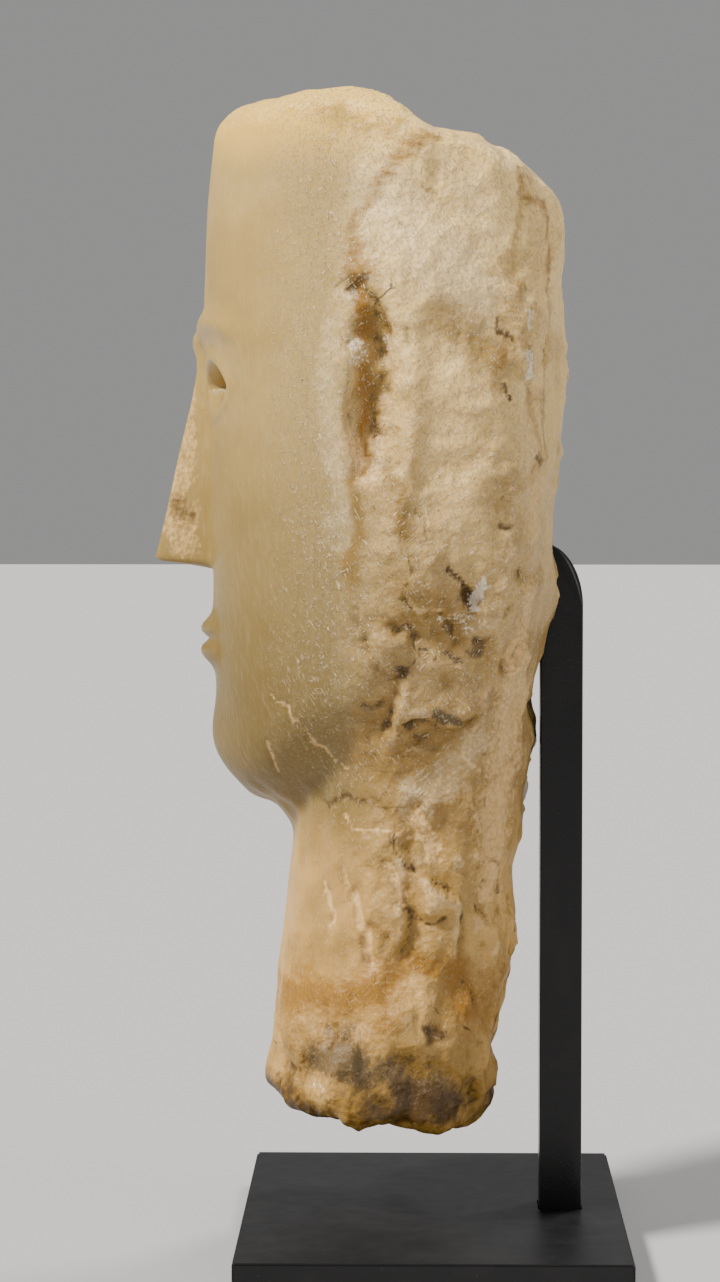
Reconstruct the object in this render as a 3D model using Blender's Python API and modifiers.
"""An alabaster head, broken off below the neck, held by a steel post on a steel base plate.

The head is one stone. Its face is smooth, its back and crown are roughly dressed, and its back has
a shallow seat for the top of the post. Metres, +Z up. The face looks along -Y, and its left cheek
is at +X. The origin is the middle of the base plate's underside.
"""

import math

import bmesh
import bpy
import numpy as np
from mathutils import Vector, noise

# The stone and the stand
STONE_HEIGHT = 0.290  # from the lowest point of the break to the crown
STONE_GAP = 0.0244  # air between the base plate and the break
BASE_LENGTH = 0.108  # front to back
BASE_WIDTH = 0.150  # side to side
BASE_THICKNESS = 0.010
BASE_EDGE = 0.0006  # rounding of the plate's edges
POST_DEPTH = 0.012  # front to back
POST_WIDTH = 0.012  # side to side
POST_INSET = 0.0114  # from the plate's back edge to the post's back
POST_SOCKET = 0.004  # how deep the post's foot is let into the plate
POST_TOP_RISE = 0.018  # height of the rounded top
POST_EDGE = 0.0005  # rounding of the post's long edges
POST_TOP_EDGE = 0.0030  # rounding of its edges where the top curves over
POST_TOP_STEPS = 14
FIT_GAP = 0.0003  # between pieces that touch

# The stone's own unit: lengths below are shares of its height, 290 to the whole. Its y is 0 at the
# post's front, its z is 0 at the lowest point of the break.
UNIT = STONE_HEIGHT / 290
SEAT_LEVEL = 166.6  # the post's top meets the stone this high
POST_HEIGHT = STONE_GAP + SEAT_LEVEL * UNIT  # above the plate
POST_FRONT = BASE_LENGTH / 2 - POST_INSET - POST_DEPTH

# Level, front, back, half width, and how square the front and the back of the section are
HEAD_SECTIONS = (
    (66, -84.0, -8.0, 33.0, 2.0, 2.4),
    (94, -88.0, -5.0, 39.0, 2.05, 2.5),
    (116, -90.5, -2.2, 46.0, 2.1, 2.6),
    (141, -92.0, 0.8, 52.5, 2.2, 2.8),
    (166, -93.0, 2.2, 57.5, 2.3, 3.0),
    (196, -94.0, 2.8, 60.5, 2.4, 3.0),
    (228, -95.5, 3.4, 61.0, 2.5, 3.0),
    (258, -94.5, 4.2, 59.0, 2.6, 2.9),
    (281, -92.5, 2.2, 57.0, 2.6, 2.8),
    (301, -90.5, 0.5, 55.0, 2.6, 2.8),
)
NECK_SECTIONS = (
    (-14, -74.0, -27.0, 36.0, 2.2, 2.3),
    (16, -78.0, -15.4, 41.0, 2.2, 2.3),
    (41, -75.0, -9.4, 40.0, 2.2, 2.3),
    (66, -72.0, -7.4, 38.5, 2.2, 2.4),
    (96, -69.0, -4.8, 40.5, 2.2, 2.5),
    (121, -66.0, -2.2, 46.0, 2.2, 2.6),
    (146, -62.0, 0.8, 52.5, 2.2, 2.8),
    (171, -58.0, 2.4, 57.0, 2.2, 3.0),
)
SPINE_Y = -43.0  # the stone is measured from a line up its middle
JAW_CHIN = 96.0  # level of the chin's underside
JAW_RISE = 55.0  # the underside's rise from the chin round to the nape
JAW_TILT, JAW_REACH = 0.35, 45.0  # its rise outwards, and how far out it has the levels above
JAW_EDGE = 12.0
THROAT_BLEND = 9.0
CROWN_LINE = ((-98, 285), (-75, 289.3), (-58, 290.5), (-46, 289), (-33, 281.5), (-20, 278), (8, 261))
CROWN_EDGE = 8.0
BREAK_LINE = ((-82, 14), (-70, 8), (-52, 5.5), (-40, 3.5), (-30, 2.4), (-22, 2.8), (-14, 9))
BREAK_EDGE = 5.0

# The face, on the canon of equal thirds: hairline to brow, brow to nose, nose to chin
FACE_TOP = 291.0
THIRD = (FACE_TOP - JAW_CHIN) / 3
BROW = FACE_TOP - THIRD
NOSE_BASE = BROW - THIRD
MOUTH = NOSE_BASE - THIRD / 3
EYE = BROW - 0.24 * THIRD
EYE_WIDTH = 25.0  # a fifth of the face's width, and half the space between the eyes' middles
EYE_HEIGHT = 12.5
EYE_DEPTH = 7.5
EYE_WALL = 4.5  # how far inwards the hollow's wall leans
LID_RISE, LID_WIDTH = 1.3, 1.8
ORBIT = (2.2, 17.0, 10.0)  # depth, half width and half height of the hollow round each eye
BROW_RISE, BROW_WIDTH, BROW_ARCH = 2.2, 3.4, 5.0
BROW_REACH = (40.0, 50.0)  # the brows die out between these distances from the middle
NOSE_START = 5.0  # how far over the eyes' middles the nose starts
NOSE_FADE = 16.0  # and how far up the brow it dies out
NOSE_ROOT = EYE + NOSE_START
NOSE_RISE = (3.0, 17.0)  # how far it stands out at its root and at its tip
NOSE_RIDGE = (3.0, 4.6)  # half width of the flat ridge, root and tip
NOSE_FOOT = (7.0, 12.5)  # half width where it meets the cheeks
MOUTH_WIDTH = 36.0
LIP_HEIGHT = 7.0
LIP_RISE = 3.2
LIP_PARTING = 1.6
CHIN_BOSS = (3.6, 15.0, 11.0)  # rise, half width and half height of each mound
CHEEK = (1.6, 17.0, 22.0)
MUZZLE = (1.5, 20.0, 14.0)
EAR_Y, EAR_LEVEL = -46.0, 202.0  # the middle of each ear
EAR_DEPTH, EAR_HEIGHT = 9.5, 32.0  # half its size
EAR_RISE, EAR_HOLLOW = 2.4, 1.8

# The roughly dressed stone: size and height of its lumps, size and depth of its flake scars
LUMPS = (36, 1.5)
SCARS = (25, 4.2)
BREAK_LUMPS = (19, 2.4)
NOISE_APART = Vector((7.31, 3.17, 5.73))  # in sizes, from where one kind of lump is read to the next
POLISH_ENDS = (-60.0, -40.0)  # the smooth face gives way to the rough side between these y's
CROWN_STARTS = (276.0, 288.0)  # and to the rougher crown between these levels
BREAK_STARTS = (58.0, 26.0)  # and to the rough foot of the neck below
CROWN_ROUGHNESS = 0.6  # of the back's

# How finely the stone is meshed
COLUMNS = 66
FACE_CROWDING = 0.6  # columns are this much denser over the face
RIM_CROWDING = 0.5  # and rows over the rims of the crown and the break
SPINE_LOW, SPINE_HIGH = 42.0, 244.0
LEVEL_ROWS = 50
LEVEL_CROWDING = ((EYE, 11.0, 2.0), (MOUTH, 12.0, 0.8), (NOSE_BASE, 4.0, 1.0), (JAW_CHIN, 9.0, 1.0))
CROWN_ROWS, BREAK_ROWS = 13, 9


def clear_scene():
    for thing in list(bpy.data.objects):
        bpy.data.objects.remove(thing)


def collection_named(name):
    made = bpy.data.collections.new(name)
    bpy.context.scene.collection.children.link(made)
    return made


def finish(name, colour, roughness, metallic):
    made = bpy.data.materials.new(name)
    made.use_nodes = True
    shader = made.node_tree.nodes["Principled BSDF"]
    shader.inputs["Base Color"].default_value = (*colour, 1.0)
    shader.inputs["Roughness"].default_value = roughness
    shader.inputs["Metallic"].default_value = metallic
    return made


def object_from(name, shape, collection):
    """An object made of a bmesh."""
    bmesh.ops.recalc_face_normals(shape, faces=shape.faces)
    mesh = bpy.data.meshes.new(name)
    shape.to_mesh(mesh)
    shape.free()
    made = bpy.data.objects.new(name, mesh)
    collection.objects.link(made)
    return made


def cut(piece, cutter):
    """Takes the cutter's shape out of the piece, and keeps the cutter out of sight."""
    cutter.hide_render = True
    cutter.display_type = "WIRE"
    carving = piece.modifiers.new(cutter.name, "BOOLEAN")
    carving.operation = "DIFFERENCE"
    carving.solver = "EXACT"
    carving.object = cutter


def ease(low, high, value):
    """0 below low, 1 above high, and smooth between."""
    share = np.clip((value - low) / (high - low), 0.0, 1.0)
    return share * share * (3 - 2 * share)


def hump(offset, width):
    """A smooth rise of height 1 around offset 0."""
    return np.exp(-((offset / width) ** 2))


def mound(sizes, across, up):
    """A soft mound of the given rise, half width and half height."""
    rise, half_width, half_height = sizes
    return rise * hump(across, half_width) * hump(up, half_height)


def curve_through(knots, at):
    """The values at the given places of a smooth curve through (place, value) knots."""
    places = np.array([knot[0] for knot in knots], float)
    values = np.array([knot[1] for knot in knots], float)
    slopes = np.gradient(values, places)
    at = np.clip(at, places[0], places[-1])
    left = np.clip(np.searchsorted(places, at, side="right") - 1, 0, len(places) - 2)
    span = places[left + 1] - places[left]
    t = (at - places[left]) / span
    return (
        values[left] * (1 + 2 * t) * (1 - t) ** 2
        + slopes[left] * span * t * (1 - t) ** 2
        + values[left + 1] * t * t * (3 - 2 * t)
        + slopes[left + 1] * span * t * t * (t - 1)
    )


def soft_max(a, b, edge):
    """The larger of two distances, rounded where they cross."""
    share = np.clip(0.5 + 0.5 * (a - b) / edge, 0.0, 1.0)
    return b + (a - b) * share + edge * share * (1 - share)


def soft_min(a, b, edge):
    return -soft_max(-a, -b, edge)


def shifted(points, size, seed):
    """The points in units of size, moved to a part of the noise that no other seed uses."""
    return [Vector(point) / size + NOISE_APART * seed for point in points]


def lumps_at(points, size, seed):
    """Smooth noise of about -1 to 1, whose lumps are about one size across."""
    return np.array([noise.noise(place) for place in shifted(points, size, seed)]) * 1.6


def scars_at(points, size, seed):
    """Shallow scoops one size across with sharp edges between, about -0.5 to 0.5."""
    nearest = [noise.voronoi(place)[0][0] for place in shifted(points, size, seed)]
    return np.array(nearest) ** 2 - 0.3


def loft_gap(sections, x, y, z):
    """About how far a point is outside a loft through level sections."""
    front, back, half, front_power, back_power = (
        curve_through([(row[0], row[column]) for row in sections], z) for column in range(1, 6)
    )
    middle = (front + back) / 2
    depth = (back - front) / 2
    power = np.where(y < middle, front_power, back_power)
    across = np.abs(x / half) ** power + np.abs((y - middle) / depth) ** power
    return (across ** (1 / power) - 1) * np.minimum(half, depth)


def stone_gap(x, y, z):
    """About how far a point is outside the uncarved stone."""
    head = loft_gap(HEAD_SECTIONS, x, y, z)
    out = np.hypot(x, y - SPINE_Y) + 1e-6
    turned = (1 + (y - SPINE_Y) / out) / 2
    jaw = JAW_CHIN + JAW_RISE * turned + JAW_TILT * (out - JAW_REACH)
    head = soft_max(head, jaw - z, JAW_EDGE)
    neck = loft_gap(NECK_SECTIONS, x, y, z)
    block = soft_min(head, neck, THROAT_BLEND)
    block = soft_max(block, z - curve_through(CROWN_LINE, y), CROWN_EDGE)
    return soft_max(block, curve_through(BREAK_LINE, y) - z, BREAK_EDGE)


def way_out(origins, directions):
    """The points where rays from inside the stone leave it, none further off than it is tall."""
    near = np.zeros(len(origins))
    far = np.full(len(origins), STONE_HEIGHT / UNIT)
    for _ in range(24):
        middle = (near + far) / 2
        inside = stone_gap(*(origins + directions * middle[:, None]).T) < 0
        near = np.where(inside, middle, near)
        far = np.where(inside, far, middle)
    return origins + directions * near[:, None]


def rims_crowded(count):
    """Elevations between 0 and a right angle, closer together half way up, where the rims are."""
    share = np.linspace(0, 1, count + 1)[1:-1]
    return math.pi / 2 * (share + RIM_CROWDING * np.sin(2 * math.pi * share) / (2 * math.pi))


def row_levels():
    """Levels up the spine, closer together where the face and the jaw need it."""
    fine = np.linspace(SPINE_LOW, SPINE_HIGH, 1000)
    crowd = 1 + sum(extra * hump(fine - level, width) for level, width, extra in LEVEL_CROWDING)
    share = np.cumsum(crowd) - crowd[0]
    return np.interp(np.linspace(0, share[-1], LEVEL_ROWS), share, fine)


def row_rays():
    """(level on the spine, elevation) of each row of points, from the break up to the crown."""
    rows = [(SPINE_LOW, -rise) for rise in rims_crowded(BREAK_ROWS)[::-1]]
    rows += [(level, 0.0) for level in row_levels()]
    return rows + [(SPINE_HIGH, rise) for rise in rims_crowded(CROWN_ROWS)]


def nose(x, z):
    """Height of the nose over the face: a long wedge with a flat ridge, cut off level below."""
    down = np.clip((NOSE_ROOT - z) / (NOSE_ROOT - NOSE_BASE), 0, 1)
    rise = NOSE_RISE[0] + (NOSE_RISE[1] - NOSE_RISE[0]) * down
    ridge = NOSE_RIDGE[0] + (NOSE_RIDGE[1] - NOSE_RIDGE[0]) * down
    foot = NOSE_FOOT[0] + (NOSE_FOOT[1] - NOSE_FOOT[0]) * down
    across = 1 - ease(ridge, foot, np.abs(x))
    above = 1 - ease(NOSE_ROOT, NOSE_ROOT + NOSE_FADE, z)
    below = ease(NOSE_BASE - 2, NOSE_BASE + 1, z)
    return rise * across * above * below


def eye_edge(x, z):
    """Distance outside the almond of the nearer eye."""
    half, rise = EYE_WIDTH / 2, EYE_HEIGHT / 2
    radius = (half * half + rise * rise) / (2 * rise)
    along = np.abs(x) - EYE_WIDTH
    upper = np.hypot(along, z - EYE + (radius - rise))
    lower = np.hypot(along, z - EYE - (radius - rise))
    return np.maximum(upper, lower) - radius


def eyes(x, z):
    """The hollow eyes, their lids, and the shallow orbits that they lie in."""
    edge = eye_edge(x, z)
    lid = LID_RISE * hump(edge - LID_WIDTH, LID_WIDTH)
    return lid - EYE_DEPTH * ease(0.4, -EYE_WALL, edge) - mound(ORBIT, np.abs(x) - EYE_WIDTH, z - EYE)


def brows(x, z):
    """A low ridge over each eye, from the nose's root to the temple."""
    out = np.abs(x)
    line = BROW + BROW_ARCH * (np.sin(np.clip(out / BROW_REACH[1], 0, 1) * math.pi) - 0.5)
    return BROW_RISE * hump(z - line, BROW_WIDTH) * (1 - ease(*BROW_REACH, out))


def mouth(x, z):
    """Two closed lips and the line between them."""
    along = np.clip(1 - (x / (MOUTH_WIDTH / 2)) ** 2, 0, 1)
    line = MOUTH + 0.8 * (x / (MOUTH_WIDTH / 2)) ** 2
    upper = hump(z - line - LIP_HEIGHT * 0.42, LIP_HEIGHT * 0.45)
    lower = hump(z - line + LIP_HEIGHT * 0.52, LIP_HEIGHT * 0.5)
    parting = hump(z - line, 1.2)
    return along**0.6 * (LIP_RISE * (upper + 1.1 * lower) - LIP_PARTING * parting)


def chin_and_cheeks(x, z):
    chin = mound(CHIN_BOSS, x, z - JAW_CHIN - CHIN_BOSS[1])
    cheeks = mound(CHEEK, np.abs(x) - MOUTH_WIDTH * 0.83, z - NOSE_BASE - EYE_DEPTH)
    return chin + cheeks + mound(MUZZLE, x, z - MOUTH)


def ears(y, z):
    """Worn ears: a low oval rim with a hollow in it."""
    ring = np.hypot((y - EAR_Y) / EAR_DEPTH, (z - EAR_LEVEL) / EAR_HEIGHT) - 1
    return EAR_RISE * hump(ring, 0.4) - EAR_HOLLOW * ease(0.1, -0.7, ring)


def dressing(points):
    """Height of the rough stone over the smooth form: none on the face, most on the back."""
    _, y, z = points.T
    behind = ease(*POLISH_ENDS, y)
    crown = CROWN_ROUGHNESS * ease(*CROWN_STARTS, z)
    broken = ease(*BREAK_STARTS, z)
    lumps = lumps_at(points, LUMPS[0], 1) * LUMPS[1]
    scars = scars_at(points, SCARS[0], 2) * SCARS[1]
    foot = lumps_at(points, BREAK_LUMPS[0], 3) * BREAK_LUMPS[1]
    return np.maximum(np.maximum(behind, crown), broken) * (lumps + scars) + broken**2 * foot


def stone_points(rows):
    """Points of the stone's surface, row by row, then the two poles below and above them."""
    turn = np.arange(COLUMNS) / COLUMNS * 2 * math.pi - math.pi
    turn = turn - FACE_CROWDING * np.sin(turn)
    rays = [(level, rise, angle) for level, rise in rows for angle in turn]
    rays += [(SPINE_LOW, -math.pi / 2, 0.0), (SPINE_HIGH, math.pi / 2, 0.0)]
    level, rise, angle = np.array(rays).T
    origins = np.column_stack((np.zeros(len(level)), np.full(len(level), SPINE_Y), level))
    directions = np.column_stack(
        (np.cos(rise) * np.sin(angle), -np.cos(rise) * np.cos(angle), np.sin(rise))
    )
    points = way_out(origins, directions)
    x, y, z = points.T
    facing = ease(0.15, 0.45, np.cos(angle) * np.cos(rise))
    sideways = ease(0.5, 0.8, np.abs(np.sin(angle)) * np.cos(rise)) * np.sign(x)
    face = nose(x, z) + eyes(x, z) + brows(x, z) + mouth(x, z) + chin_and_cheeks(x, z)
    carving = np.column_stack((sideways * ears(y, z), -facing * face, np.zeros(len(x))))
    return points + carving + directions * dressing(points)[:, None]


def build_stone(collection):
    """The head as one closed mesh: rows of points round its spine, and a fan at each pole."""
    rows = row_rays()
    shape = bmesh.new()
    verts = [shape.verts.new(point) for point in stone_points(rows) * UNIT]
    rings = [verts[row * COLUMNS : (row + 1) * COLUMNS] for row in range(len(rows))]
    low_pole, high_pole = verts[-2:]
    for k in range(COLUMNS):
        after = (k + 1) % COLUMNS
        shape.faces.new((low_pole, rings[0][after], rings[0][k]))
        shape.faces.new((high_pole, rings[-1][k], rings[-1][after]))
        for below, above in zip(rings[:-1], rings[1:], strict=True):
            shape.faces.new((below[k], below[after], above[after], above[k]))
    stone = object_from("alabaster_head", shape, collection)
    stone.data.shade_smooth()
    stone.location = (0, POST_FRONT, BASE_THICKNESS + STONE_GAP)
    return stone


def bar(name, width, margin, collection):
    """The post with a margin all round: a square bar, whose back curves forward to its top."""
    shoulder = POST_HEIGHT - POST_TOP_RISE
    turns = np.linspace(0, math.pi / 2, POST_TOP_STEPS)
    outline = [
        ((POST_DEPTH + margin) * math.cos(turn), shoulder + (POST_TOP_RISE + margin) * math.sin(turn))
        for turn in turns
    ]
    outline += [(-margin, POST_HEIGHT + margin), (-margin, -POST_SOCKET - margin)]
    outline += [(POST_DEPTH + margin, -POST_SOCKET - margin)]
    shape = bmesh.new()
    side = shape.faces.new([shape.verts.new((-width / 2, y, z)) for y, z in outline])
    made = bmesh.ops.extrude_face_region(shape, geom=[side])
    moved = [part for part in made["geom"] if isinstance(part, bmesh.types.BMVert)]
    bmesh.ops.translate(shape, vec=(width, 0, 0), verts=moved)
    bmesh.ops.remove_doubles(shape, verts=shape.verts, dist=1e-6)
    post = object_from(name, shape, collection)
    post.location = (0, POST_FRONT, BASE_THICKNESS)
    return post


def soften_post(post):
    """Rounds the post's side edges, more where its top curves over."""
    shape = bmesh.new()
    shape.from_mesh(post.data)
    weight = shape.edges.layers.float.new("bevel_weight_edge")
    shoulder = POST_HEIGHT - POST_TOP_RISE
    for edge in shape.edges:
        start, end = (vert.co for vert in edge.verts)
        middle = (start + end) / 2
        if abs(start.x - end.x) < POST_WIDTH / 2 and middle.z > 0:
            curved = (middle.z - shoulder) / POST_TOP_RISE
            wide = math.sin(math.pi * curved) if 0 < curved < 1 and middle.y > 0 else 0.0
            edge[weight] = (POST_EDGE + (POST_TOP_EDGE - POST_EDGE) * wide) / POST_TOP_EDGE
    shape.to_mesh(post.data)
    shape.free()
    rounding = post.modifiers.new("rounded edges", "BEVEL")
    rounding.limit_method = "WEIGHT"
    rounding.width = POST_TOP_EDGE
    rounding.segments = 3


def build_base(collection):
    """The flat plate that everything stands on."""
    bpy.ops.mesh.primitive_cube_add(size=1, location=(0, 0, BASE_THICKNESS / 2))
    plate = bpy.context.object
    plate.name = plate.data.name = "stand_base"
    plate.scale = (BASE_WIDTH, BASE_LENGTH, BASE_THICKNESS)
    bpy.ops.object.transform_apply(location=False, rotation=False, scale=True)
    for holder in plate.users_collection:
        holder.objects.unlink(plate)
    collection.objects.link(plate)
    rounding = plate.modifiers.new("rounded edges", "BEVEL")
    rounding.width = BASE_EDGE
    rounding.segments = 2
    return plate


def main():
    clear_scene()
    parts = collection_named("alabaster head on its stand")
    cutters = collection_named("cutters")
    stone = build_stone(parts)
    post = bar("stand_post", POST_WIDTH, 0.0, parts)
    soften_post(post)
    plate = build_base(parts)
    room = bar("room_for_the_post", POST_WIDTH + 2 * FIT_GAP, FIT_GAP, cutters)
    cut(stone, room)
    cut(plate, room)
    stone.data.materials.append(finish("alabaster", (0.62, 0.52, 0.36), 0.45, 0.0))
    post.data.materials.append(finish("black steel of the post", (0.018, 0.018, 0.02), 0.38, 0.0))
    plate.data.materials.append(finish("black steel of the plate", (0.018, 0.018, 0.02), 0.42, 0.0))


main()
